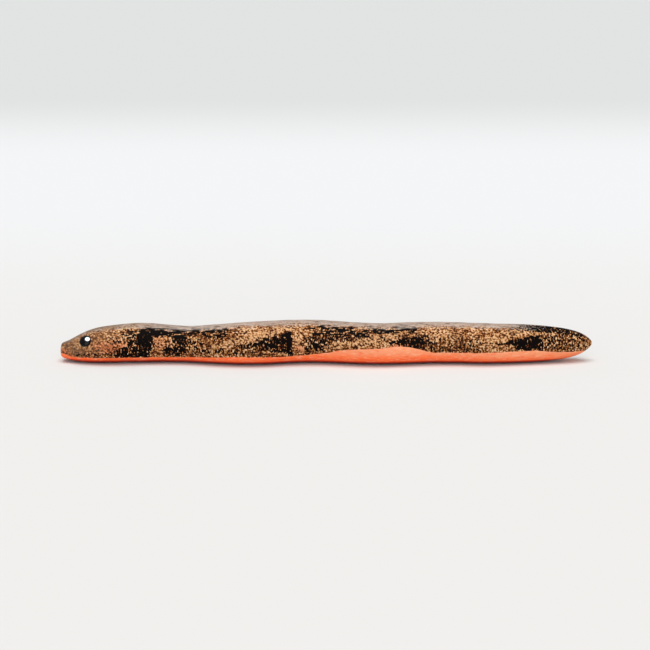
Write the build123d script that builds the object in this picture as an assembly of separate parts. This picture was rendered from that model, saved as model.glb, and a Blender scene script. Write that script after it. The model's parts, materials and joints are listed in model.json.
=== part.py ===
"""Six-inch soft plastic worm: a two-colour, eel-shaped bait with a pair of bead eyes.

Frame: +X runs from the snout to the tail, +Z is up, and the origin is the bottom centre of the bounding box.
The bait is two pours of soft plastic, a mottled back over an orange belly, bonded along one wavy line.
Both pours bend anywhere along their length. Each is cut here into twelve links, which turn on each other about
upright and level axes in turn, so the chain sways and nods as the one-piece bait does.
All sizes are in millimetres.
"""

from build123d import *
import os

# ---------------------------------------------------------------- driving dimensions
LENGTH = 152.4  # snout face to tail tip, six inches
HEAD_LENGTH = 25.0  # snout face to the first hinge
LINK_PITCH = 11.0  # from one hinge to the next
HINGE_COUNT = 11
KNUCKLE_MARGIN = 0.7  # knuckle radius, less the body's half size at that hinge
JOINT_GAP = 0.15  # between a knuckle and the cup that turns on it
SETTLE = 0.3  # how far the round belly flattens where it rests

EYE_DIAMETER = 3.6
EYE_DEPTH = 1.7  # of the whole bead, front to back
EYE_PROUD = 0.6  # how far the bead stands out of the skin
EYE_BEHIND_SNOUT = 7.6
EYE_HEIGHT = 6.85
EYE_TURN = (-0.20, 0.70, 0.68)  # the way the right bead looks

# ---------------------------------------------------------------- outlines, against the distance behind the snout
BACK_LINE = [  # height of the back
    (0.0, 5.0), (2.4, 5.95), (5.8, 7.95), (9.2, 9.5), (14.4, 10.4), (22.0, 10.95), (36.0, 10.05), (45.0, 10.9),
    (54.0, 11.8), (66.0, 11.95), (80.0, 11.65), (91.0, 11.4), (106.0, 11.4), (120.0, 11.2), (130.0, 10.85),
    (137.0, 10.4), (143.2, 9.6), (147.0, 8.75), (149.4, 7.95), (151.2, 6.75), (152.1, 5.95), (LENGTH, 5.5),
]
KEEL_LINE = [  # height of the underside, before it flattens
    (0.0, 0.95), (2.4, 0.2), (5.8, -SETTLE), (131.0, -SETTLE), (137.0, -0.1), (143.2, 0.4), (147.0, 1.15),
    (149.4, 2.05), (151.2, 3.3), (152.1, 4.1), (LENGTH, 4.6),
]
HALF_WIDTH = [
    (0.0, 2.5), (2.4, 3.2), (5.8, 4.3), (9.2, 5.0), (14.4, 5.6), (22.0, 5.95), (36.0, 5.5), (54.0, 6.4),
    (66.0, 6.5), (91.0, 6.3), (120.0, 6.05), (134.0, 5.4), (143.2, 4.1), (147.0, 3.4), (149.4, 2.65),
    (151.2, 1.7), (152.1, 0.95), (LENGTH, 0.45),
]
SWAY = [  # sideways place of the middle line, + to the worm's right
    (0.0, 2.1), (10.0, 0.5), (30.0, 1.8), (54.0, -1.5), (72.0, 1.4), (91.0, -1.3), (109.0, 0.7), (122.0, -0.2),
    (136.0, 0.9), (LENGTH, 2.1),
]
POUR_LINE = [  # height of the bond between the belly pour and the back pour
    (-1.0, 2.9), (4.0, 1.8), (13.0, 1.9), (31.0, 1.9), (46.0, 2.5), (52.0, 2.8), (64.0, 2.6), (71.0, 3.0),
    (76.0, 3.7), (83.0, 5.0), (91.0, 5.4), (97.0, 5.9), (102.0, 5.0), (107.0, 3.8), (117.0, 3.8), (126.0, 4.0),
    (135.0, 4.1), (143.0, 3.3), (LENGTH + 1, 3.0),
]
STATIONS = [  # where the body's sections stand
    0.0, 2.4, 5.8, 9.2, 14.4, 22.0, 29.0, 36.0, 45.0, 54.0, 63.0, 72.0, 81.0, 91.0, 100.0, 109.0, 120.0, 130.0,
    137.0, 143.2, 147.0, 149.4, 151.2, 152.1, LENGTH,
]

# ---------------------------------------------------------------- values that follow
SNOUT_X = -LENGTH / 2
HINGE_STATIONS = [HEAD_LENGTH + LINK_PITCH * index for index in range(HINGE_COUNT)]
LINK_NAMES = ["head", "neck"] + [f"body_{number}" for number in range(1, 9)] + ["tail_root", "tail_tip"]
REACH = 40.0  # larger than the body's width and height, for the cutting tools


def along(outline, station):
    """Value of an outline at a station, on a smooth curve that doesn't overshoot its points."""
    places = [place for place, _ in outline]
    values = [value for _, value in outline]
    slopes = [(values[i + 1] - values[i]) / (places[i + 1] - places[i]) for i in range(len(places) - 1)]
    index = max(i for i in range(len(slopes)) if places[i] <= station or i == 0)

    def tangent(i):
        """Slope of the curve at a point: level at a peak or a hollow."""
        if i == 0 or i == len(places) - 1:
            return slopes[0 if i == 0 else -1]
        before, after = slopes[i - 1], slopes[i]
        return 0.0 if before * after <= 0 else 2 * before * after / (before + after)

    run = places[index + 1] - places[index]
    t = (station - places[index]) / run
    rise = values[index + 1] - values[index]
    start, end = tangent(index) * run, tangent(index + 1) * run
    return values[index] + t * start + t * t * (3 * rise - 2 * start - end) + t**3 * (start + end - 2 * rise)


def place(station, height=0.0):
    """Point on the worm's middle plane at a station."""
    return Vector(SNOUT_X + station, along(SWAY, station), height)


def section(station):
    """Upright oval section of the body at a station."""
    top, bottom = along(BACK_LINE, station), along(KEEL_LINE, station)
    middle = place(station, (top + bottom) / 2)
    plane = Plane(origin=middle, x_dir=(0, 1, 0), z_dir=(1, 0, 0))
    return plane * Ellipse(along(HALF_WIDTH, station), (top - bottom) / 2)


def whole_body():
    """The bait as one solid, flat where it rests."""
    body = loft([section(station) for station in STATIONS])
    below = Pos(0, 0, -REACH / 2) * Box(2 * LENGTH, REACH, REACH)
    return body - below


def sways(index):
    """Whether a hinge turns about an upright axis. The others turn about a level one."""
    return index % 2 == 0


def knuckle(index, growth=0.0):
    """Round knuckle on a hinge's axis, which reaches past the body on both sides."""
    station = HINGE_STATIONS[index]
    top, bottom = along(BACK_LINE, station), along(KEEL_LINE, station)
    if sways(index):
        radius = along(HALF_WIDTH, station) + KNUCKLE_MARGIN + growth
        return Location(place(station, top / 2)) * Cylinder(radius, REACH)
    radius = (top - bottom) / 2 + KNUCKLE_MARGIN + growth
    return Location(place(station, (top + bottom) / 2)) * Rotation(90, 0, 0) * Cylinder(radius, REACH)


def snout_side(index, growth=0.0):
    """All space on the snout's side of a hinge, with the knuckle that closes it."""
    block = Pos(SNOUT_X + HINGE_STATIONS[index] - LENGTH / 2, 0, 0) * Box(LENGTH, REACH, REACH)
    return block + knuckle(index, growth)


def link(body, number):
    """One link of the chain: a cup at its front end and a knuckle at its rear end."""
    piece = body
    if number < HINGE_COUNT:
        piece = piece & snout_side(number)
    if number > 0:
        piece = piece - snout_side(number - 1, JOINT_GAP)
    return piece


def belly_space():
    """All space under the bond line."""
    bond = Spline([(SNOUT_X + station, height) for station, height in POUR_LINE])
    start, end = bond @ 0, bond @ 1
    rim = Polyline(start, (start.X, -REACH), (end.X, -REACH), end)
    return extrude(Plane.XZ * make_face(bond + rim), REACH, both=True)


def eye(side):
    """Lens-shaped bead eye. Side is 1 for the right eye and -1 for the left one."""
    look = Vector(EYE_TURN[0], side * EYE_TURN[1], EYE_TURN[2]).normalized()
    station = EYE_BEHIND_SNOUT
    top, bottom = along(BACK_LINE, station), along(KEEL_LINE, station)
    rise = (EYE_HEIGHT - (top + bottom) / 2) / ((top - bottom) / 2)
    reach = along(HALF_WIDTH, station) * (1 - rise**2) ** 0.5
    skin = place(station, EYE_HEIGHT) + Vector(0, side * reach, 0)
    centre = skin + look * (EYE_PROUD - EYE_DEPTH / 2)
    dome = (EYE_DIAMETER**2 + EYE_DEPTH**2) / (4 * EYE_DEPTH)
    shift = dome - EYE_DEPTH / 2
    lens = (Pos(0, 0, shift) * Sphere(dome)) & (Pos(0, 0, -shift) * Sphere(dome))
    return Plane(origin=centre, z_dir=look) * lens


def write(shape, name):
    """Writes one node."""
    export_step(shape, f"parts/{name}.step")


def main():
    """Builds and writes every node."""
    os.makedirs("parts", exist_ok=True)
    body = whole_body()
    lower = belly_space()
    right_eye, left_eye = eye(1), eye(-1)
    for number, name in enumerate(LINK_NAMES):
        piece = link(body, number)
        back, belly = piece - lower, piece & lower
        if name == "head":
            back = back - right_eye - left_eye
        write(back, f"{name}_back")
        write(belly, f"{name}_belly")
    write(left_eye, "left_eye")
    write(right_eye, "right_eye")
    for index, station in enumerate(HINGE_STATIONS):
        middle = (along(BACK_LINE, station) + along(KEEL_LINE, station)) / 2
        turn = "upright" if sways(index) else "level"
        print(LINK_NAMES[index], LINK_NAMES[index + 1], turn, place(station, middle))
    size = body.bounding_box()
    print("body from", size.min, "to", size.max, "volume", round(body.volume))


main()
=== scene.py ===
"""A soft plastic worm: a mottled brown back poured over an orange belly, with two black bead eyes.

The worm lies along X with its snout at the low end, in metres. One continuous skin is modelled first. It is then
parted into the back pour and the belly pour, and each pour into stretches that each span one joint.
"""

from __future__ import annotations

import json
import logging
import math
from collections.abc import Callable, Iterator
from contextlib import contextmanager
from dataclasses import dataclass, field
from enum import Enum

import bpy
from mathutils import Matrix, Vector, noise

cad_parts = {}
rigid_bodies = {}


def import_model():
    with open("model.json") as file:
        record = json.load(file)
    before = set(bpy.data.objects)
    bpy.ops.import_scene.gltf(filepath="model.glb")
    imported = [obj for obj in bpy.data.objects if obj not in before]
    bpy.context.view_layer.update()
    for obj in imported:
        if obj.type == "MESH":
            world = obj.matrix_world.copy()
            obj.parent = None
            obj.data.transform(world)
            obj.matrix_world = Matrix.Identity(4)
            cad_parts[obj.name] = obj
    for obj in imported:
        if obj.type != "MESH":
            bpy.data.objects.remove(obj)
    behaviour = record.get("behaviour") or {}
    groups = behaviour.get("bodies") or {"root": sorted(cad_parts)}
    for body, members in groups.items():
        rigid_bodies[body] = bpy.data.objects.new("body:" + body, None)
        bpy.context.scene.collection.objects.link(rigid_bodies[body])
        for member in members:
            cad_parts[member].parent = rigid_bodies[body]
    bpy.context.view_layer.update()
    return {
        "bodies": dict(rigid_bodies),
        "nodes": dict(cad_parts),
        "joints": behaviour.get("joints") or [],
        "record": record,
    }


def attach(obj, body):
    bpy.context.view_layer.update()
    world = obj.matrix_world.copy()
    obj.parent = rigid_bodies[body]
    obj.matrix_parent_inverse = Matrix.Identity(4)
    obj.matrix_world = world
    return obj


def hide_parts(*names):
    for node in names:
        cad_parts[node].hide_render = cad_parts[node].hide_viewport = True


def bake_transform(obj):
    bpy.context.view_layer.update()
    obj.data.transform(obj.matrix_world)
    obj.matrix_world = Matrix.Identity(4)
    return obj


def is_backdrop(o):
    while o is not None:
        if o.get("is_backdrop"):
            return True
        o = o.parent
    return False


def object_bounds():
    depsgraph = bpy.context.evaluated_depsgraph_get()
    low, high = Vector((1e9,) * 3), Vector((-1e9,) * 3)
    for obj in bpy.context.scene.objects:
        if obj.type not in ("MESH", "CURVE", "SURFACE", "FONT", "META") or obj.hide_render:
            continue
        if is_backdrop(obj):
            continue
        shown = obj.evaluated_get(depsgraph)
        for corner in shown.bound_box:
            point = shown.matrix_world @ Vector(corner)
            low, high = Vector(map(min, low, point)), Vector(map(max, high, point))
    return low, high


LOG = logging.getLogger("worm")
MM = 0.001
REST_PLACE = "rest_place"  # the attribute that holds where each point of a skin lies before the worm bends
CROWN_SHARE = "crown_share"  # the attribute that holds how near it is to the crown: 0 at the floor and 1 at the crown

Point = tuple[float, float, float]
Test = Callable[[Vector], bool]


class Pour(Enum):
    """The two pours of plastic, by the name of the record's slot that each fills."""

    BACK = "back_plastic"
    BELLY = "belly_plastic"

    @property
    def word(self) -> str:
        """The name's first word, as in the frame's node names."""
        return self.value.split("_")[0]


class Side(Enum):
    """A side of the worm, by the sign of its Y."""

    LEFT = -1
    RIGHT = 1

    @property
    def word(self) -> str:
        """The side's name in small letters."""
        return self.name.lower()


# ------------------------------------------------------------------------------------------------ modelling by hand


class Bench:
    """The modelling operators, each called on one piece at a time."""

    @staticmethod
    def take(piece: bpy.types.Object) -> None:
        """Selects one piece alone and makes it active."""
        bpy.ops.object.select_all(action="DESELECT")
        piece.select_set(True)
        bpy.context.view_layer.objects.active = piece

    @staticmethod
    def made(name: str) -> bpy.types.Object:
        """Names the primitive that was just added, and puts its place into its mesh."""
        piece = bpy.context.active_object
        piece.name = piece.data.name = name
        Bench.take(piece)
        bpy.ops.object.transform_apply(location=True, rotation=True, scale=True)
        return piece

    @staticmethod
    @contextmanager
    def editing(piece: bpy.types.Object) -> Iterator[None]:
        """Edit mode on one piece, with all of it selected."""
        Bench.take(piece)
        bpy.ops.object.mode_set(mode="EDIT")
        bpy.ops.mesh.select_mode(type="VERT")
        bpy.ops.mesh.select_all(action="SELECT")
        yield
        bpy.ops.object.mode_set(mode="OBJECT")

    @staticmethod
    @contextmanager
    def picking(piece: bpy.types.Object, wanted: Test) -> Iterator[int]:
        """Edit mode with only some of a piece's points selected.

        Args:
            piece: The piece to edit.
            wanted: Whether a point at this place is to be selected.

        Yields:
            How many points are selected.
        """
        with Bench.editing(piece):
            bpy.ops.mesh.select_all(action="DESELECT")
        flags = [wanted(vertex.co) for vertex in piece.data.vertices]
        piece.data.vertices.foreach_set("select", flags)
        Bench.take(piece)
        bpy.ops.object.mode_set(mode="EDIT")
        yield sum(flags)
        bpy.ops.object.mode_set(mode="OBJECT")

    @staticmethod
    def modify(piece: bpy.types.Object, kind: str, **settings: object) -> None:
        """Adds one modifier to a piece and applies it.

        Args:
            piece: The piece to change.
            kind: The modifier's type.
            settings: The modifier's own settings, by name.
        """
        Bench.take(piece)
        modifier = piece.modifiers.new(kind.lower(), kind)
        for name, value in settings.items():
            setattr(modifier, name, value)
        bpy.ops.object.modifier_apply(modifier=modifier.name)

    @staticmethod
    def copied(piece: bpy.types.Object, name: str) -> bpy.types.Object:
        """A copy of a piece, with its own mesh."""
        twin = piece.copy()
        twin.data = piece.data.copy()
        twin.name = twin.data.name = name
        bpy.context.scene.collection.objects.link(twin)
        return twin

    @staticmethod
    def discard(*pieces: bpy.types.Object) -> None:
        """Deletes pieces that were only tools."""
        for piece in pieces:
            bpy.data.objects.remove(piece)


# ------------------------------------------------------------------------------------------------ the worm's form


@dataclass(frozen=True)
class Outline:
    """A size along the worm, in millimetres, given at a few stations and eased between them without overshoot."""

    knots: tuple[tuple[float, float], ...]

    def _slope(self, index: int) -> float:
        """Slope between one knot and the next."""
        (start, low), (end, high) = self.knots[index], self.knots[index + 1]
        return (high - low) / (end - start)

    def _tangent(self, index: int) -> float:
        """Slope of the curve at a knot: level at a peak or a hollow."""
        last = len(self.knots) - 1
        if index in (0, last):
            return self._slope(0 if index == 0 else last - 1)
        before, after = self._slope(index - 1), self._slope(index)
        return 0.0 if before * after <= 0 else 2 * before * after / (before + after)

    def at(self, station: float) -> float:
        """The size at a distance behind the snout.

        Args:
            station: Millimetres behind the snout's face.

        Returns:
            The size there, in millimetres.
        """
        index = max(i for i in range(len(self.knots) - 1) if self.knots[i][0] <= station or i == 0)
        (start, low), (end, high) = self.knots[index], self.knots[index + 1]
        run, rise = end - start, high - low
        t = min(max((station - start) / run, 0.0), 1.0)
        leave, arrive = self._tangent(index) * run, self._tangent(index + 1) * run
        return low + t * leave + t**2 * (3 * rise - 2 * leave - arrive) + t**3 * (leave + arrive - 2 * rise)


@dataclass(frozen=True)
class WormForm:
    """The worm's outlines, against millimetres behind the snout's face."""

    snout_x: float
    length: float
    back_line: Outline = Outline((
        (0.0, 5.0), (2.4, 5.95), (5.8, 7.95), (9.2, 9.5), (14.4, 10.4), (22.0, 10.95), (36.0, 10.05), (45.0, 10.9),
        (54.0, 11.8), (66.0, 11.95), (80.0, 11.65), (91.0, 11.4), (106.0, 11.4), (120.0, 11.2), (130.0, 10.85),
        (137.0, 10.4), (143.2, 9.6), (147.0, 8.75), (149.4, 7.95), (151.2, 6.75), (152.1, 5.95), (152.4, 5.5),
    ))
    keel_line: Outline = Outline((
        (0.0, 0.95), (2.4, 0.2), (5.8, -0.3), (131.0, -0.3), (137.0, -0.1), (143.2, 0.4), (147.0, 1.15),
        (149.4, 2.05), (151.2, 3.3), (152.1, 4.1), (152.4, 4.6),
    ))
    half_width: Outline = Outline((
        (0.0, 2.5), (2.4, 3.2), (5.8, 4.3), (9.2, 5.0), (14.4, 5.6), (22.0, 5.95), (36.0, 5.5), (54.0, 6.4),
        (66.0, 6.5), (91.0, 6.3), (120.0, 6.05), (134.0, 5.4), (143.2, 4.1), (147.0, 3.4), (149.4, 2.65),
        (151.2, 1.7), (152.1, 0.95), (152.4, 0.45),
    ))
    sway: Outline = Outline((
        (0.0, 2.1), (10.0, 0.5), (30.0, 1.8), (54.0, -1.5), (72.0, 1.4), (91.0, -1.3), (109.0, 0.7), (122.0, -0.2),
        (136.0, 0.9), (152.4, 2.1),
    ))
    pour_line: Outline = Outline((
        (-1.0, 2.9), (4.0, 1.8), (13.0, 1.9), (31.0, 1.9), (46.0, 2.5), (52.0, 2.8), (64.0, 2.6), (71.0, 3.0),
        (76.0, 3.7), (83.0, 5.0), (91.0, 5.4), (97.0, 5.9), (102.0, 5.0), (107.0, 3.8), (117.0, 3.8), (126.0, 4.0),
        (135.0, 4.1), (143.0, 3.3), (153.4, 3.0),
    ))

    def x(self, station: float) -> float:
        """X in metres of a station."""
        return self.snout_x + station * MM

    def centre(self, station: float) -> Vector:
        """Middle of the section at a station, in metres."""
        height = (self.back_line.at(station) + self.keel_line.at(station)) / 2
        return Vector((self.x(station), self.sway.at(station) * MM, height * MM))

    def half_sizes(self, station: float) -> tuple[float, float]:
        """Half the width and half the height of the section at a station, in metres."""
        tall = (self.back_line.at(station) - self.keel_line.at(station)) / 2
        return self.half_width.at(station) * MM, tall * MM

    def flank(self, station: float, height: float, side: Side) -> Vector:
        """Point on the skin at a station and a height, both in millimetres, in metres."""
        middle, (wide, tall) = self.centre(station), self.half_sizes(station)
        rise = max(-1.0, min(1.0, (height * MM - middle.z) / tall))
        return Vector((middle.x, middle.y + side.value * wide * math.sqrt(1 - rise**2), height * MM))


@dataclass(frozen=True)
class Press:
    """A thumb's press or pull on the soft skin, the same on both sides."""

    start: tuple[float, float]  # station and height of one end of the stroke, in millimetres
    end: tuple[float, float]
    depth: float  # millimetres inwards; less than 0 pulls out
    spread: float  # millimetres that the skin eases away over


@dataclass
class Skin:
    """The worm's skin as one closed surface, before it is parted.

    A ring of points is extruded down the body, station by station, and then subdivided and worked by hand.
    """

    form: WormForm
    sides: int = 24
    pitch: float = 3.0  # millimetres from ring to ring
    coarse_levels: int = 1
    fine_levels: int = 2
    stroke_width: float = 1.1  # millimetres from a press's stroke that it takes hold of
    snout_rings: tuple[float, ...] = (0.0, 1.0, 2.2, 3.8)  # behind the snout's face, in millimetres
    first_even_ring: float = 5.8
    tail_rings: tuple[float, ...] = (10.5, 8.0, 5.9, 4.0, 2.4, 1.2, 0.4, 0.0)  # before the tail's tip
    snout_rim: float = 0.5  # millimetres that the blunt snout's edge is rounded over
    uneven_size: float = 7.0  # of the slow swells that cover the skin
    uneven_depth: float = 0.22
    mouth_from: float = 1.2
    mouth_to: float = 9.5
    mouth_height: float = 2.55
    mouth_width: float = 0.12
    mouth_depth: float = 0.22
    presses: tuple[Press, ...] = (
        Press((50.0, 5.2), (64.5, 6.6), 0.38, 3.4),
        Press((49.0, 8.2), (66.0, 10.2), -0.22, 2.6),
        Press((93.5, 6.4), (103.5, 7.6), 0.38, 3.0),
        Press((84.0, 8.0), (100.0, 10.1), -0.20, 2.6),
        Press((126.0, 6.0), (137.0, 6.6), 0.36, 3.0),
        Press((122.0, 7.4), (134.0, 9.2), -0.18, 2.4),
        Press((24.0, 5.0), (26.0, 8.0), 0.22, 3.0),
        Press((11.5, 4.0), (16.0, 4.6), -0.28, 3.2),
    )

    def _stations(self) -> list[float]:
        """Stations of the rings, closer where the snout and the tail round off."""
        start = self.first_even_ring
        tail = [self.form.length - back for back in self.tail_rings]
        count = round((tail[0] - start) / self.pitch)
        body = [start + (tail[0] - start) * step / count for step in range(count)]
        return [*self.snout_rings, *body, *tail]

    def _ring_sizes(self, station: float) -> tuple[float, float]:
        """Half sizes of a ring of the cage, which stands a little outside the smooth skin it makes."""
        fullness = 3 / (2 + math.cos(math.tau / self.sides))
        wide, tall = self.form.half_sizes(station)
        return wide * fullness, tall * fullness

    def _cage(self) -> bpy.types.Object:
        """The coarse cage: a disc at the snout, extruded from ring to ring to the tail."""
        stations = self._stations()
        middle, (wide, tall) = self.form.centre(stations[0]), self._ring_sizes(stations[0])
        bpy.ops.object.select_all(action="DESELECT")
        bpy.ops.mesh.primitive_circle_add(
            vertices=self.sides, radius=MM, fill_type="NGON", location=middle, rotation=(0, math.pi / 2, 0)
        )
        cage = Bench.made("skin")
        with Bench.editing(cage):
            bpy.ops.transform.resize(value=(1, wide / MM, tall / MM), center_override=middle)
            for station in stations[1:]:
                before, (was_wide, was_tall) = middle, (wide, tall)
                middle, (wide, tall) = self.form.centre(station), self._ring_sizes(station)
                bpy.ops.mesh.extrude_region_move(TRANSFORM_OT_translate={"value": middle - before})
                bpy.ops.transform.resize(value=(1, wide / was_wide, tall / was_tall), center_override=middle)
            bpy.ops.mesh.select_all(action="SELECT")
            bpy.ops.mesh.remove_doubles(threshold=0.001 * MM)
            bpy.ops.mesh.normals_make_consistent(inside=False)
        snout = self.form.x(0) + 0.01 * MM
        with Bench.picking(cage, lambda place: place.x < snout):
            bpy.ops.mesh.inset(thickness=self.snout_rim * MM)
            bpy.ops.mesh.inset(thickness=self.snout_rim * MM)
        return cage

    def _near_stroke(self, press: Press, side: Side) -> Test:
        """Test for points that a press's stroke takes hold of on one side."""
        start = self.form.flank(*press.start, side)
        run = self.form.flank(*press.end, side) - start

        def near(place: Vector) -> bool:
            """Whether a point is close to the stroke."""
            share = max(0.0, min(1.0, (place - start).dot(run) / run.length_squared))
            return (place - start - run * share).length < self.stroke_width * MM

        return near

    def _press(self, skin: bpy.types.Object) -> None:
        """Works the hollows and ridges into both flanks."""
        for press in self.presses:
            for side in Side:
                with Bench.picking(skin, self._near_stroke(press, side)) as count:
                    if count:
                        bpy.ops.transform.shrink_fatten(
                            value=-press.depth * MM,
                            use_even_offset=False,
                            use_proportional_edit=True,
                            proportional_edit_falloff="SMOOTH",
                            proportional_size=press.spread * MM,
                            use_proportional_connected=True,
                        )

    def _crease_mouth(self, skin: bpy.types.Object) -> None:
        """Presses the mouth's fine crease along both cheeks."""
        first, last = self.form.x(self.mouth_from), self.form.x(self.mouth_to)
        low = (self.mouth_height - self.mouth_width) * MM
        high = (self.mouth_height + self.mouth_width) * MM
        with Bench.picking(skin, lambda place: first < place.x < last and low < place.z < high) as count:
            if count:
                bpy.ops.transform.shrink_fatten(value=-self.mouth_depth * MM, use_even_offset=False)

    def _rest(self, skin: bpy.types.Object) -> None:
        """Flattens the belly where it rests on the floor."""
        with Bench.picking(skin, lambda place: place.z < 0):
            bpy.ops.transform.resize(value=(1, 1, 0), center_override=(0, 0, 0))

    def build(self) -> bpy.types.Object:
        """Models the whole skin.

        Returns:
            The closed skin.
        """
        skin = self._cage()
        Bench.modify(skin, "SUBSURF", levels=self.coarse_levels, render_levels=self.coarse_levels)
        self._press(skin)
        Bench.modify(skin, "SUBSURF", levels=self.fine_levels, render_levels=self.fine_levels)
        waves = bpy.data.textures.new("hand_worked", "CLOUDS")
        waves.noise_scale = self.uneven_size * MM
        waves.noise_depth = 1
        Bench.modify(
            skin, "DISPLACE", texture=waves, texture_coords="LOCAL", strength=self.uneven_depth * MM, mid_level=0.5
        )
        self._crease_mouth(skin)
        self._rest(skin)
        LOG.info("skin: %d points", len(skin.data.vertices))
        return skin


@dataclass
class Bead:
    """One bead eye, set in a socket in the head."""

    form: WormForm
    side: Side
    diameter: float = 3.6
    depth: float = 1.7
    proud: float = 0.6
    station: float = 7.6
    height: float = 6.85
    look: Point = (-0.20, 0.70, 0.68)  # the way the right bead looks
    play: float = 0.05  # between the bead and the socket
    segments: int = 48
    rings: int = 24

    @property
    def direction(self) -> Vector:
        """The way this bead looks."""
        return Vector((self.look[0], self.side.value * self.look[1], self.look[2])).normalized()

    @property
    def centre(self) -> Vector:
        """Middle of the bead, in metres."""
        skin = self.form.flank(self.station, self.height, self.side)
        return skin + self.direction * (self.proud - self.depth / 2) * MM

    def _lens(self, name: str, growth: float) -> bpy.types.Object:
        """A lens with a rounded rim, in place.

        Args:
            name: The piece's name.
            growth: Millimetres that it is larger all round than the bead.

        Returns:
            The lens.
        """
        turn = self.direction.to_track_quat("Z", "Y")
        bpy.ops.object.select_all(action="DESELECT")
        bpy.ops.mesh.primitive_uv_sphere_add(
            segments=self.segments,
            ring_count=self.rings,
            radius=(self.diameter / 2 + growth) * MM,
            location=self.centre,
            rotation=turn.to_euler(),
        )
        lens = bpy.context.active_object
        lens.scale = (1, 1, (self.depth / 2 + growth) / (self.diameter / 2 + growth))
        return Bench.made(name)

    def cut_socket(self, skin: bpy.types.Object) -> None:
        """Cuts this bead's socket out of the skin."""
        cutter = self._lens(f"{self.side.word}_socket", self.play)
        Bench.modify(skin, "BOOLEAN", operation="DIFFERENCE", solver="EXACT", object=cutter)
        Bench.discard(cutter)

    def build(self, finish: bpy.types.Material) -> bpy.types.Object:
        """Makes the bead and sets it in the head.

        Args:
            finish: The bead's material.

        Returns:
            The bead.
        """
        bead = self._lens(f"{self.side.word}_eye_bead", 0.0)
        bead.data.materials.append(finish)
        Bench.take(bead)
        bpy.ops.object.shade_smooth()
        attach(bead, "head")
        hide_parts(f"{self.side.word}_eye")
        LOG.info("%s: rides on the head", bead.name)
        return bead


# ------------------------------------------------------------------------------------------------ the mottling


def eased(value: float, zero: float, one: float) -> float:
    """0 at one value and 1 at another, eased between them."""
    t = min(max((value - zero) / (one - zero), 0.0), 1.0)
    return t * t * (3 - 2 * t)


@dataclass(frozen=True)
class Blot:
    """A soft oval mark on both flanks, in millimetres behind the snout and above the floor."""

    station: float
    height: float
    half_length: float
    half_height: float
    tilt: float = 0.0  # degrees that its tail end is raised
    strength: float = 1.0
    soft: float = 0.7  # the width of its soft edge, as a share of its half sizes

    @property
    def span(self) -> tuple[float, float]:
        """Stations that this mark lies between."""
        reach = (self.half_length + self.half_height * abs(math.sin(math.radians(self.tilt)))) * (1 + self.soft / 2)
        return self.station - reach, self.station + reach

    def at(self, station: float, height: float) -> float:
        """How much of this mark there is at a place."""
        turn = math.radians(self.tilt)
        aft, up = station - self.station, height - self.height
        along = (aft * math.cos(turn) + up * math.sin(turn)) / self.half_length
        across = (up * math.cos(turn) - aft * math.sin(turn)) / self.half_height
        half = self.soft / 2
        return eased(math.hypot(along, across), 1 + half, 1 - half) * self.strength


@dataclass(frozen=True)
class Wedge:
    """A dark three-cornered mark: a point towards the snout, and an upright edge towards the tail."""

    station: float  # of the point
    height: float  # of the point
    length: float
    rise: float  # from the point's height to the top of the upright edge
    fall: float  # and to its foot
    strength: float = 1.0
    faint: float = 0.5  # the share of its strength that it has at the point
    end: float = 0.06  # the width of the soft upright edge, as a share of the length
    arch: float = 1.0  # less than 1 arches the top edge upwards
    soft_top: tuple[float, float] = (-0.06, 0.14)  # where the top edge starts and ends, as shares of the rise
    soft_foot: tuple[float, float] = (-0.10, 0.16)  # the same for the lower edge

    @property
    def span(self) -> tuple[float, float]:
        """Stations that this mark lies between."""
        return self.station, self.station + self.length * (1 + self.end)

    def at(self, station: float, height: float) -> float:
        """How much of this mark there is at a place."""
        along = (station - self.station) / self.length
        if along <= 0:
            return 0.0
        up = (height - self.height) / self.rise
        under_top = eased(along**self.arch - up, *self.soft_top)
        over_foot = eased(along * self.fall / self.rise + up, *self.soft_foot)
        before_end = eased(1 - along, -self.end, self.end)
        depth = self.faint + (1 - self.faint) * eased(along, 0.0, 1.0)
        return under_top * over_foot * before_end * depth * self.strength


class Coat(Enum):
    """One layer of the mottling, by the name of the attribute that holds how much of it there is."""

    INK = "ink"
    PALE = "pale"
    ROSY = "rosy"
    SMOOTH = "smooth"


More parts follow.
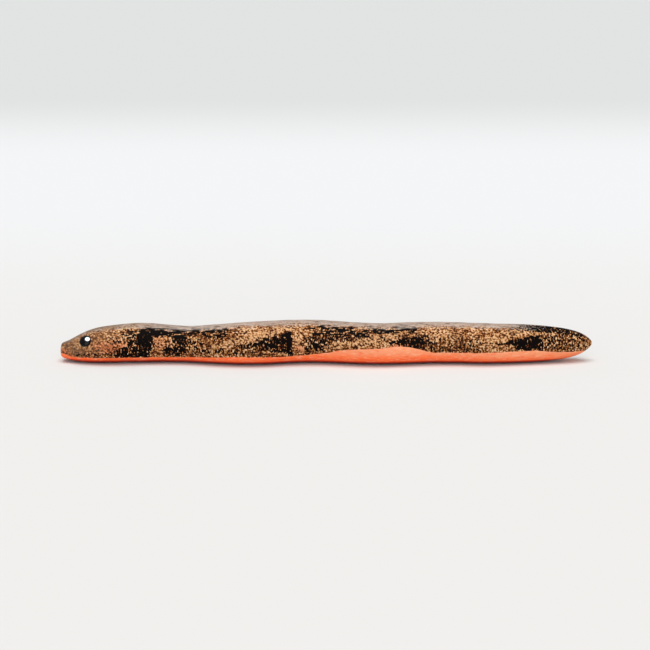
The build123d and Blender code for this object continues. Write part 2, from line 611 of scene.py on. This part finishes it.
@dataclass(frozen=True)
class Mottling:
    """Where each layer of the mottling lies on the back."""

    form: WormForm
    wander_size: float = 2.4  # how far apart the wanderings of a mark's edge are
    wander: tuple[float, float] = (1.1, 0.7)  # how far the edges wander along and up
    finer: tuple[float, float] = (2.6, 0.5)  # how much closer and weaker the second layer of wandering is
    wander_seed: int = 3  # makes the edges wander the same way every time
    marks: tuple = (
        (Coat.INK, (
            Blot(24.5, 6.3, 2.2, 4.6, 0, 0.90, 0.5),
            Blot(21.4, 6.0, 2.2, 4.4, 0, 0.62, 0.6),
            Blot(20.2, 3.5, 6.2, 1.6, 0, 0.84, 0.7),
            Blot(17.2, 7.6, 3.2, 2.8, 0, 0.36, 0.8),
            Blot(29.6, 9.2, 5.6, 1.3, -4, 0.92, 0.8),
            Blot(34.6, 6.6, 2.5, 4.4, 0, 0.86, 0.9),
            Blot(33.0, 3.7, 3.6, 1.6, 0, 0.84, 0.8),
            Blot(39.2, 5.0, 4.2, 3.4, 0, 0.42, 1.0),
            Blot(42.6, 9.3, 8.6, 1.6, 0, 0.66, 0.9),
            Blot(51.0, 4.2, 8.6, 1.2, 0, 0.5, 1.0),
            Wedge(47.8, 6.1, 18.2, 3.7, 2.9, 0.90, 0.64, 0.03),
            Blot(65.7, 6.4, 0.7, 3.6, 0, 1.0, 0.5),
            Blot(73.8, 6.8, 4.4, 3.0, 8, 0.66, 0.8),
            Blot(70.4, 4.2, 0.8, 1.7, 0, 0.9, 0.6),
            Blot(80.0, 9.3, 8.6, 1.9, -6, 0.66, 1.0),
            Blot(91.0, 9.4, 7.0, 1.5, 0, 0.58, 1.0),
            Blot(98.8, 10.4, 4.0, 0.8, 3, 0.72, 0.8),
            Wedge(93.6, 6.8, 10.2, 2.4, 1.9, 0.96, 0.84, 0.10, 0.75),
            Blot(104.6, 7.0, 2.2, 2.0, 0, 0.62, 1.0),
            Blot(110.5, 7.8, 4.2, 1.6, 0, 0.4, 1.0),
            Blot(114.0, 4.8, 7.0, 1.3, 0, 0.5, 1.0),
            Blot(116.0, 6.4, 5.0, 2.0, 0, 0.34, 1.0),
            Wedge(123.6, 6.3, 14.0, 2.3, 2.5, 1.05, 0.84, 0.14, 0.7),
            Blot(142.0, 6.2, 5.4, 2.8, 0, 0.48, 0.9),
            Blot(138.5, 10.0, 11.0, 1.4, -5, 0.90, 0.8),
            Blot(147.5, 5.8, 3.4, 2.6, 0, 0.42, 1.0),
            Blot(146.6, 9.0, 6.0, 1.1, -22, 0.68, 0.9),
            Blot(6.4, 2.7, 2.4, 0.4, 0, 0.8, 0.8),
            Blot(11.4, 3.0, 1.8, 0.4, 0, 0.8, 0.8),
        )),
        (Coat.PALE, (
            Blot(57.0, 8.9, 11.0, 0.9, 11, 0.95, 0.8),
            Blot(48.6, 6.6, 5.0, 0.9, 14, 0.5, 0.9),
            Blot(87.0, 7.4, 11.0, 1.3, 9, 0.8, 0.9),
            Blot(127.0, 8.6, 7.4, 0.9, 12, 0.8, 0.9),
            Blot(29.3, 6.4, 2.4, 1.9, 0, 0.55, 0.8),
            Blot(68.6, 6.4, 1.5, 3.2, 0, 0.7, 0.9),
            Blot(69.0, 4.9, 1.3, 0.7, 0, 0.9),
            Blot(108.0, 8.6, 7.0, 1.6, -3, 0.4, 1.0),
            Blot(139.0, 8.6, 6.0, 0.5, -2, 0.5, 0.9),
        )),
        (Coat.ROSY, (
            Blot(15.6, 5.4, 5.6, 1.7, 0, 0.46, 0.9),
            Blot(1.2, 2.3, 3.4, 1.1, -12, 0.72, 1.2),
            Blot(28.8, 6.2, 2.4, 2.0, 0, 0.24, 0.9),
            Blot(97.0, 6.0, 2.8, 0.9, 0, 0.6, 0.9),
            Blot(69.0, 4.8, 1.8, 1.1, 0, 0.36, 0.9),
        )),
        (Coat.SMOOTH, (
            Blot(2.0, 4.6, 5.6, 5.0, 0, 0.66, 0.7),
            Blot(9.6, 7.0, 7.0, 4.6, 10, 0.36, 0.9),
        )),
    )

    def _wandered(self, spot: Vector) -> tuple[float, float]:
        """Station and height at which a mark's clean shape is read for a point, so that its edges are ragged."""
        where, (closer, weaker) = spot / self.wander_size, self.finer
        shift = noise.noise_vector(where) + noise.noise_vector(where * closer) * weaker
        return spot.x - self.form.snout_x / MM + shift.x * self.wander[0], spot.z + shift.z * self.wander[1]

    def lay(self, piece: bpy.types.Object) -> None:
        """Stores on each point of a piece how much of each layer lies there.

        Args:
            piece: A stretch of the back, whose mesh is final.
        """
        noise.seed_set(self.wander_seed)
        spots = [self._wandered(vertex.co / MM) for vertex in piece.data.vertices]
        first, last = min(spots)[0], max(spots)[0]
        for coat, marks in self.marks:
            near = [mark for mark in marks if mark.span[0] < last and mark.span[1] > first]
            amounts = [max((mark.at(*spot) for mark in near), default=0.0) for spot in spots]
            layer = piece.data.attributes.new(coat.value, "FLOAT", "POINT")
            layer.data.foreach_set("value", amounts)


@dataclass
class Pours:
    """The two pours of plastic that the skin parts into, and the stretches that each span one joint."""

    form: WormForm
    joints: list[dict]
    mottling: Mottling
    cutter_pitch: float = 1.1
    cutter_floor: float = -6.0
    cutter_width: float = 30.0
    ragged: float = 0.16  # how far the bond wanders from its line
    ragged_size: float = 2.3
    smooth_angle: float = 32.0

    def _bond_height(self, station: float) -> float:
        """Height of the ragged bond at a station, in millimetres."""
        wander = noise.noise(Vector((station / self.ragged_size, 0.0, 0.0)))
        return self.form.pour_line.at(station) + self.ragged * wander

    def _belly_cutter(self) -> bpy.types.Object:
        """A long block under the bond: an upright sheet extruded down the body, its top following the bond."""
        start, end = -1.0, self.form.length + 1.0
        count = round((end - start) / self.cutter_pitch)
        stations = [start + (end - start) * step / count for step in range(count + 1)]
        floor = Vector((self.form.x(start), 0.0, self.cutter_floor * MM))
        tall = (self._bond_height(start) - self.cutter_floor) * MM
        bpy.ops.object.select_all(action="DESELECT")
        bpy.ops.mesh.primitive_plane_add(
            size=1.0, location=floor + Vector((0, 0, tall / 2)), rotation=(0, math.pi / 2, 0)
        )
        bpy.context.active_object.scale = (tall, self.cutter_width * MM, 1)
        cutter = Bench.made("belly_cutter")
        with Bench.editing(cutter):
            for before, station in zip(stations, stations[1:]):
                was_tall, tall = tall, (self._bond_height(station) - self.cutter_floor) * MM
                floor.x = self.form.x(station)
                step = Vector((self.form.x(station) - self.form.x(before), 0, 0))
                bpy.ops.mesh.extrude_region_move(TRANSFORM_OT_translate={"value": step})
                bpy.ops.transform.resize(value=(1, 1, tall / was_tall), center_override=floor)
            bpy.ops.mesh.select_all(action="SELECT")
            bpy.ops.mesh.normals_make_consistent(inside=False)
        return cutter

    def part(self, skin: bpy.types.Object) -> dict[Pour, bpy.types.Object]:
        """Parts the skin along the bond.

        Args:
            skin: The whole skin, which is used up.

        Returns:
            Each pour as one long closed piece.
        """
        cutter = self._belly_cutter()
        parted = {}
        for pour, operation in ((Pour.BACK, "DIFFERENCE"), (Pour.BELLY, "INTERSECT")):
            parted[pour] = Bench.copied(skin, f"whole_{pour.word}")
            Bench.modify(parted[pour], "BOOLEAN", operation=operation, solver="EXACT", object=cutter)
        Bench.discard(skin, cutter)
        return parted

    def _cut(self, piece: bpy.types.Object, x: float, keep_tail_side: bool) -> None:
        """Cuts a piece square across at x and closes the cut."""
        with Bench.editing(piece):
            bpy.ops.mesh.bisect(
                plane_co=(x, 0, 0),
                plane_no=(1, 0, 0),
                use_fill=True,
                clear_inner=keep_tail_side,
                clear_outer=not keep_tail_side,
            )

    def _remember_places(self, piece: bpy.types.Object) -> None:
        """Stores where each point lies, in millimetres, for the finish to follow when the worm bends."""
        spots = [vertex.co / MM for vertex in piece.data.vertices]
        places = piece.data.attributes.new(REST_PLACE, "FLOAT_VECTOR", "POINT")
        places.data.foreach_set("vector", [value for spot in spots for value in spot])
        crown = piece.data.attributes.new(CROWN_SHARE, "FLOAT", "POINT")
        tail_end = self.form.snout_x / MM
        crown.data.foreach_set("value", [spot.z / self.form.back_line.at(spot.x - tail_end) for spot in spots])

    def stretches(self, whole: bpy.types.Object, pour: Pour, finish: bpy.types.Material) -> list[bpy.types.Object]:
        """Cuts one pour into the stretches that each span one joint.

        Args:
            whole: The pour as one piece, which is used up.
            pour: Which pour it is.
            finish: Its material.

        Returns:
            The stretches, from the head to the tail.
        """
        hinges = [joint["pos_m"][0] for joint in self.joints]
        half = (hinges[1] - hinges[0]) / 2
        made = []
        for index, joint in enumerate(self.joints):
            fore, aft = joint["parent"], joint["child"]
            piece = Bench.copied(whole, f"{pour.word}_from_{fore}_to_{aft}")
            if index > 0:
                self._cut(piece, hinges[index] - half, keep_tail_side=True)
            if index < len(self.joints) - 1:
                self._cut(piece, hinges[index] + half, keep_tail_side=False)
            piece.data.materials.clear()
            piece.data.materials.append(finish)
            Bench.take(piece)
            bpy.ops.object.shade_smooth_by_angle(angle=math.radians(self.smooth_angle))
            self._remember_places(piece)
            if pour is Pour.BACK:
                self.mottling.lay(piece)
            middle = self.form.centre((hinges[index] - self.form.snout_x) / MM)
            reach = Vector((half, 0, 0))
            middle - reach
            middle + reach
            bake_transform(piece)
            nodes = [f"{fore}_{pour.word}"]
            if index == len(self.joints) - 1:
                nodes.append(f"{aft}_{pour.word}")
            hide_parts(*nodes)
            LOG.info("%s: %d points", piece.name, len(piece.data.vertices))
            made.append(piece)
        Bench.discard(whole)
        return made


# ------------------------------------------------------------------------------------------------ finishes


def tint(red: int, green: int, blue: int) -> tuple[float, float, float, float]:
    """A paint chip's colour, from its 8-bit screen values, as the linear values that a shader takes."""
    def linear(value: int) -> float:
        share = value / 255
        return share / 12.92 if share <= 0.04045 else ((share + 0.055) / 1.055) ** 2.4

    return linear(red), linear(green), linear(blue), 1.0


class Paint:
    """One material, and the few calls that its nodes are made with."""

    def __init__(self, name: str, **shader: object) -> None:
        """Starts a material.

        Args:
            name: The material's name.
            shader: Values of the shader's own sockets that are the same all over, with _ for a space.
        """
        self.material = bpy.data.materials.new(name)
        self.material.use_nodes = True
        self.tree = self.material.node_tree
        self.shader = self.tree.nodes["Principled BSDF"]
        for socket, value in shader.items():
            self.shader.inputs[socket.replace("_", " ")].default_value = value

    def node(self, kind: str, settings: dict | None = None, sockets: dict | None = None) -> bpy.types.Node:
        """Adds one node.

        Args:
            kind: The node's type.
            settings: Its settings. A colour ramp's stops are given as "stops".
            sockets: Values or links of its inputs, by name or number.

        Returns:
            The node.
        """
        made = self.tree.nodes.new(kind)
        for name, value in (settings or {}).items():
            if name == "stops":
                ramp = made.color_ramp.elements
                while len(ramp) < len(value):
                    ramp.new(1.0)
                for stop, (place, colour) in zip(ramp, value):
                    stop.position, stop.color = place, colour
            else:
                setattr(made, name, value)
        for name, value in (sockets or {}).items():
            self.feed(made.inputs[name], value)
        return made

    def feed(self, socket: bpy.types.NodeSocket, value: object) -> None:
        """Links a socket, or sets its value."""
        value = value.socket if isinstance(value, Level) else value
        if isinstance(value, bpy.types.NodeSocket):
            self.tree.links.new(value, socket)
        else:
            socket.default_value = value

    def place(self) -> bpy.types.NodeSocket:
        """Where a point lies on the worm at rest, in millimetres."""
        return self.node("ShaderNodeAttribute", {"attribute_name": REST_PLACE}).outputs["Vector"]

    def stored(self, name: str) -> Level:
        """A number that is stored on a mesh's points."""
        return Level(self, self.node("ShaderNodeAttribute", {"attribute_name": name}).outputs["Fac"])

    def grain(self, where: object, size: Point, detail: float = 2.0, rough: float = 0.55) -> Level:
        """Noise whose grains are about this size.

        Args:
            where: The place, in millimetres.
            size: The grains' size along X, Y and Z, in millimetres.
            detail: How many finer layers it has.
            rough: How strong those are.

        Returns:
            The noise, about 0.5 with most of it from 0.3 to 0.7.
        """
        spot = self.node("ShaderNodeMapping", {"vector_type": "TEXTURE"}, {"Vector": where, "Scale": size})
        sockets = {"Vector": spot.outputs[0], "Scale": 1.0, "Detail": detail, "Roughness": rough}
        return Level(self, self.node("ShaderNodeTexNoise", None, sockets).outputs[0])

    def blend(self, share: Level | float, first: object, second: object, mode: str = "MIX") -> bpy.types.NodeSocket:
        """A colour between two, by how much of the second there is."""
        settings = {"data_type": "RGBA", "blend_type": mode, "clamp_factor": True}
        return self.node("ShaderNodeMix", settings, {0: share, 6: first, 7: second}).outputs[2]

    def ramp(self, share: Level, stops: list[tuple[float, tuple]]) -> bpy.types.NodeSocket:
        """A colour read off a row of stops."""
        return self.node("ShaderNodeValToRGB", {"stops": stops}, {0: share}).outputs[0]

    def bump(self, height: Level, depth: float) -> None:
        """Roughens the surface by a height of this many millimetres."""
        sockets = {"Height": height, "Distance": depth * MM, "Strength": 1.0}
        self.feed(self.shader.inputs["Normal"], self.node("ShaderNodeBump", None, sockets).outputs[0])


@dataclass(frozen=True)
class Level:
    """A number that varies over a surface. Python's operators on it add Math nodes."""

    paint: Paint
    socket: bpy.types.NodeSocket

    def _math(self, operation: str, *values: Level | float) -> Level:
        """One Math node."""
        made = self.paint.node("ShaderNodeMath", {"operation": operation}, dict(enumerate(values)))
        return Level(self.paint, made.outputs[0])

    def __add__(self, other: Level | float) -> Level:
        """Sum."""
        return self._math("ADD", self, other)

    __radd__ = __add__

    def __mul__(self, other: Level | float) -> Level:
        """Product."""
        return self._math("MULTIPLY", self, other)

    __rmul__ = __mul__

    def __sub__(self, other: Level | float) -> Level:
        """Difference."""
        return self._math("SUBTRACT", self, other)

    def __rsub__(self, other: float) -> Level:
        """Difference from a number."""
        return self._math("SUBTRACT", other, self)

    def ease(self, zero: float, one: float, top: float = 1.0) -> Level:
        """0 at one value and top at another, eased between them."""
        settings = {"interpolation_type": "SMOOTHSTEP"}
        sockets = {"Value": self, "From Min": zero, "From Max": one, "To Min": 0.0, "To Max": top}
        return Level(self.paint, self.paint.node("ShaderNodeMapRange", settings, sockets).outputs[0])


@dataclass(frozen=True)
class BackFinish:
    """Mottled brown back: tan flecks, black ink in patches and strokes, and a pale painted sheen along the top."""

    fleck_tones: tuple = (  # from the darkest flecks to the palest
        (0.36, tint(48, 20, 5)),
        (0.44, tint(102, 56, 24)),
        (0.51, tint(148, 92, 50)),
        (0.58, tint(186, 134, 88)),
        (0.67, tint(222, 184, 148)),
    )
    olive_wash: tuple = tint(224, 216, 176)
    smooth_tone: tuple = tint(126, 100, 79)
    pale_tone: tuple = tint(208, 160, 114)
    rosy_tone: tuple = tint(212, 112, 74)
    ink_tone: tuple = tint(6, 2, 1)
    # tones of the painted sheen along the top: darker on the head, with darker and lighter streaks in it
    brow_tone: tuple = tint(132, 112, 97)
    sheen_tone: tuple = tint(168, 150, 138)
    crown_shade: tuple = tint(116, 98, 84)
    crown_light: tuple = tint(206, 190, 176)
    cloud_size: Point = (5.0, 5.0, 3.0)
    patch_size: Point = (2.6, 2.6, 1.6)
    fleck_size: Point = (0.56, 0.56, 0.50)
    dash_size: Point = (0.44, 0.6, 0.78)  # of the upright dabs of ink on the flanks
    streak_size: Point = (2.0, 1.0, 0.42)  # of the long strokes near the crown
    sheen_from: tuple[float, float] = (0.90, 0.985)  # shares of the height that the painted sheen starts and is full at
    crown_ends: tuple[float, float] = (135.0, 130.0)  # stations that the painted sheen, and the long strokes near the crown, end and are full at
    crown_rag: float = 34.0  # millimetres that the flecks carry the painted sheen's end, and the long strokes' end, to and fro over
    brow_ends: tuple[float, float] = (12.0, 36.0)  # stations that the painted sheen's tone on the head turns into its tone along the body between
    relief: float = 0.08

    def _plastic(self, paint: Paint, cloud: Level, patch: Level, fleck: Level) -> bpy.types.NodeSocket:
        """The flecked tan plastic, with its pale, rosy and smooth places."""
        pale, rosy, smooth = (paint.stored(coat.value) for coat in (Coat.PALE, Coat.ROSY, Coat.SMOOTH))
        body = (fleck - 0.5) * (1.0 - smooth * 0.5) + (cloud + patch) * 0.3 + 0.2
        tan = paint.ramp(body, self.fleck_tones)
        olive = paint.blend(1.0, tan, self.olive_wash, "MULTIPLY")
        tan = paint.blend(patch.ease(0.46, 0.60, 0.4), tan, olive)
        tan = paint.blend(smooth * 0.6, tan, self.smooth_tone)
        tan = paint.blend(pale * fleck.ease(0.38, 0.58, 0.75), tan, self.pale_tone)
        return paint.blend(rosy * fleck.ease(0.40, 0.56, 0.9), tan, self.rosy_tone)

    def make(self, form: WormForm) -> bpy.types.Material:
        """Mixes the finish.

        Args:
            form: The worm's form, which places the marks.

        Returns:
            The material.
        """
        paint = Paint("mottled_back", Specular_IOR_Level=0.05, Roughness=0.6)
        where = paint.place()
        cloud, patch = paint.grain(where, self.cloud_size), paint.grain(where, self.patch_size)
        fleck, dash, streak = (
            paint.grain(where, size, 1.0, 0.5) for size in (self.fleck_size, self.dash_size, self.streak_size)
        )
        tan = self._plastic(paint, cloud, patch, fleck)
        share = paint.stored(CROWN_SHARE)
        station = Level(paint, paint.node("ShaderNodeSeparateXYZ", None, {0: where}).outputs[0]) - form.snout_x / MM
        along = (station + (fleck - 0.5) * self.crown_rag).ease(*self.crown_ends)
        stroke = Level(paint, paint.blend(share.ease(0.68, 0.80, 0.75) * along, dash.socket, streak.socket))
        ink, pale, smooth = (paint.stored(coat.value) for coat in (Coat.INK, Coat.PALE, Coat.SMOOTH))
        cover = ink * 0.35 + (cloud + patch - 1.0) * 0.26 + 0.32 - pale * 0.08 - smooth * 0.12
        inked = (cover - stroke).ease(-0.03, 0.03)
        colour = paint.blend(inked, tan, self.ink_tone)
        # painted sheen: the top of the back greyed and paled where the light glances off it, fading out towards the
        # tail
        painted_sheen = (share + (streak - 0.5) * 0.14).ease(*self.sheen_from, 0.85) * along
        crown = paint.blend(station.ease(*self.brow_ends), self.brow_tone, self.sheen_tone)
        crown = paint.blend(streak.ease(0.46, 0.34, 0.42), crown, self.crown_shade)
        crown = paint.blend(streak.ease(0.54, 0.66, 0.36), crown, self.crown_light)
        paint.feed(paint.shader.inputs["Base Color"], paint.blend(painted_sheen, colour, crown))
        paint.feed(paint.shader.inputs["Roughness"], 0.52 + fleck * 0.25)
        paint.bump(fleck * 0.5 + stroke * 0.5 - inked * 0.2, self.relief)
        return paint.material


@dataclass(frozen=True)
class BellyFinish:
    """Orange belly: deeper underneath and paler up the flank, as painted shade and painted light, with a painted
    shadow along its foot.
    """

    # painted shadow along the foot where the belly meets the floor, and painted shade just above it
    keel: tuple = tint(150, 34, 11)
    seat: tuple = tint(205, 58, 20)
    # tones from low on the belly to high up the flank, which carry painted shade underneath and painted light higher
    # up
    deep: tuple = tint(255, 100, 44)
    middle: tuple = tint(250, 122, 68)
    pale: tuple = tint(238, 150, 108)
    light_streak: tuple = tint(248, 180, 144)
    deep_streak: tuple = tint(244, 86, 32)
    cloud_size: Point = (5.0, 5.0, 2.2)
    streak_size: Point = (1.7, 0.9, 0.5)
    seat_heights: tuple[float, float] = (1.3, 0.7)  # millimetres that the painted shade above the foot starts and is full at
    keel_heights: tuple[float, float] = (0.8, 0.4)
    relief: float = 0.06

    def make(self) -> bpy.types.Material:
        """Mixes the finish.

        Returns:
            The material.
        """
        paint = Paint("orange_belly", Specular_IOR_Level=0.2, Roughness=0.55)
        where = paint.place()
        parts = paint.node("ShaderNodeSeparateXYZ", None, {0: where})
        station, height = Level(paint, parts.outputs[0]), Level(paint, parts.outputs[2])
        cloud = paint.grain(where, self.cloud_size, 3.0)
        streak = paint.grain(where, self.streak_size, 2.0, 0.6)
        # painted shade and light by height, plus tone that wanders at random and pales towards the tail
        rise = height * 0.2 + (cloud - 0.5) * 0.5 + station.ease(16.0, 60.0, 0.22)
        colour = paint.ramp(rise, [(0.16, self.deep), (0.46, self.middle), (0.84, self.pale)])
        colour = paint.blend(streak.ease(0.54, 0.68, 0.55), colour, self.light_streak)
        colour = paint.blend(streak.ease(0.44, 0.32, 0.5), colour, self.deep_streak)
        # painted shade and then painted shadow, darker towards the floor along the foot
        colour = paint.blend(height.ease(*self.seat_heights), colour, self.seat)
        colour = paint.blend(height.ease(*self.keel_heights), colour, self.keel)
        paint.feed(paint.shader.inputs["Base Color"], colour)
        paint.feed(paint.shader.inputs["Roughness"], 0.48 + cloud * 0.2)
        paint.bump(streak * 0.4 + cloud * 0.6, self.relief)
        return paint.material


@dataclass(frozen=True)
class BeadFinish:
    """Black glass bead with a small white dot on it: a painted highlight."""

    bead: Bead
    dot_shift: Point = (0.80, 0.0, 0.22)  # from the bead's middle, in millimetres
    dot_radius: float = 0.70
    glass: tuple = tint(10, 9, 10)
    rim: tuple = tint(56, 68, 72)
    dot: tuple = tint(244, 246, 244)

    def make(self) -> bpy.types.Material:
        """Mixes the finish.

        Returns:
            The material.
        """
        paint = Paint(f"{self.bead.side.word}_bead_glass", Roughness=0.22, Specular_IOR_Level=0.15)
        where = paint.node("ShaderNodeTexCoord").outputs["Object"]
        front = self.bead.centre + self.bead.direction * self.bead.depth / 2 * MM
        spot = front + Vector(self.dot_shift) * MM
        sockets = {"Vector": where, "Location": spot, "Scale": (MM,) * 3}
        near = paint.node("ShaderNodeMapping", {"vector_type": "TEXTURE"}, sockets)
        length = paint.node("ShaderNodeVectorMath", {"operation": "LENGTH"}, {0: near.outputs[0]})
        reach = Level(paint, length.outputs[1])
        # painted highlight: a white dot with a grey-teal fringe on the bead's upper side, towards the tail
        colour = paint.blend(reach.ease(self.dot_radius + 0.22, self.dot_radius), self.glass, self.rim)
        colour = paint.blend(reach.ease(self.dot_radius + 0.04, self.dot_radius - 0.06), colour, self.dot)
        paint.feed(paint.shader.inputs["Base Color"], colour)
        return paint.material


# ------------------------------------------------------------------------------------------------ the studio


@dataclass(frozen=True)
class Lamp:
    """A broad soft light from far away, on the camera's side."""

    name: str
    strength: float
    spread: float  # how wide it looks, in degrees
    elevation: float  # degrees above the floor

    def hang(self) -> None:
        """Adds the light."""
        bpy.ops.object.light_add(type="SUN", location=(0, 0, 1), rotation=(math.radians(90 - self.elevation), 0, 0))
        light = bpy.context.active_object
        light.name = self.name
        light.data.energy = self.strength
        light.data.angle = math.radians(self.spread)


@dataclass
class Studio:
    """Pale floor, soft light all round, and the camera."""

    floor_size: float = 12.0
    floor_drop: float = 0.3  # millimetres that the floor lies under the worm, to put its foot in shadow
    near_tone: tuple = tint(217, 216, 214)
    lit_band_tone: tuple = tint(220, 221, 222)
    far_tone: tuple = tint(203, 205, 204)
    lit_band_from: tuple[float, float] = (0.02, 0.32)  # metres behind the worm that the painted lighter band comes in over
    far_from: tuple[float, float] = (0.50, 0.95)
    camera_distance: float = 0.5
    camera_elevation: float = 12.0
    camera_lens: float = 97.0
    aim: Point = (-0.00048, 0.0, 0.0107)
    sky_strength: float = 0.36
    lamps: tuple = (Lamp("soft_key", 2.38, 50.0, 80.0), Lamp("front_fill", 1.35, 50.0, 22.0))

    def _floor(self) -> None:
        """A wide floor that pales a little way off and greys in the distance, as painted light and painted shade."""
        bpy.ops.object.select_all(action="DESELECT")
        bpy.ops.mesh.primitive_plane_add(size=self.floor_size, location=(0, 0, -self.floor_drop * MM))
        floor = Bench.made("studio_floor")
        paint = Paint("studio_paper", Roughness=0.95, Specular_IOR_Level=0.0)
        where = paint.node("ShaderNodeTexCoord").outputs["Object"]
        away = Level(paint, paint.node("ShaderNodeSeparateXYZ", None, {0: where}).outputs[1])
        # painted light a little way off, then painted shade in the distance
        tone = paint.blend(away.ease(*self.lit_band_from), self.near_tone, self.lit_band_tone)
        tone = paint.blend(away.ease(*self.far_from), tone, self.far_tone)
        paint.feed(paint.shader.inputs["Base Color"], tone)
        floor.data.materials.append(paint.material)
        floor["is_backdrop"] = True

    def _lights(self) -> None:
        """An even pale sky, a broad soft light overhead and a weaker one from the front."""
        world = bpy.data.worlds.new("studio_air")
        world.use_nodes = True
        sky = world.node_tree.nodes["Background"]
        sky.inputs["Color"].default_value = (1.0, 1.0, 1.0, 1.0)
        sky.inputs["Strength"].default_value = self.sky_strength
        bpy.context.scene.world = world
        for lamp in self.lamps:
            lamp.hang()

    def _camera(self) -> None:
        """The camera, level along X and a little above the worm."""
        rise = math.radians(self.camera_elevation)
        aim = Vector(self.aim)
        back = Vector((0.0, -math.cos(rise), math.sin(rise)))
        bpy.ops.object.camera_add(location=aim + back * self.camera_distance)
        camera = bpy.context.active_object
        camera.name = "front_camera"
        camera.rotation_mode = "QUATERNION"
        camera.rotation_quaternion = (-back).to_track_quat("-Z", "Y")
        camera.data.lens = self.camera_lens
        camera.data.sensor_width = 36.0
        camera.data.clip_start = 0.01
        camera.data.clip_end = 50.0
        bpy.context.scene.camera = camera

    def build(self) -> None:
        """Sets the studio up."""
        self._floor()
        self._lights()
        self._camera()
        bpy.context.scene.view_settings.view_transform = "Standard"
        LOG.info("studio: floor, sky, %d lamps and camera", len(self.lamps))


@dataclass
class Worm:
    """The whole worm, built round the frame."""

    frame: dict
    form: WormForm = field(init=False)

    def __post_init__(self) -> None:
        """Takes the worm's place and length from the frame."""
        low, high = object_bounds()
        self.form = WormForm(snout_x=low.x, length=(high.x - low.x) / MM)

    def build(self) -> None:
        """Models, parts and finishes the worm."""
        skin = Skin(self.form).build()
        beads = [Bead(self.form, side) for side in Side]
        for bead in beads:
            bead.cut_socket(skin)
        pours = Pours(self.form, self.frame["joints"], Mottling(self.form))
        parted = pours.part(skin)
        finishes = {Pour.BACK: BackFinish().make(self.form), Pour.BELLY: BellyFinish().make()}
        for pour, whole in parted.items():
            pours.stretches(whole, pour, finishes[pour])
        for bead in beads:
            bead.build(BeadFinish(bead).make())


def main() -> None:
    """Builds the studio and the worm."""
    logging.basicConfig(level=logging.INFO, format="%(name)s: %(message)s")
    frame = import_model()
    Studio().build()
    Worm(frame).build()


if __name__ == "__main__":
    main()
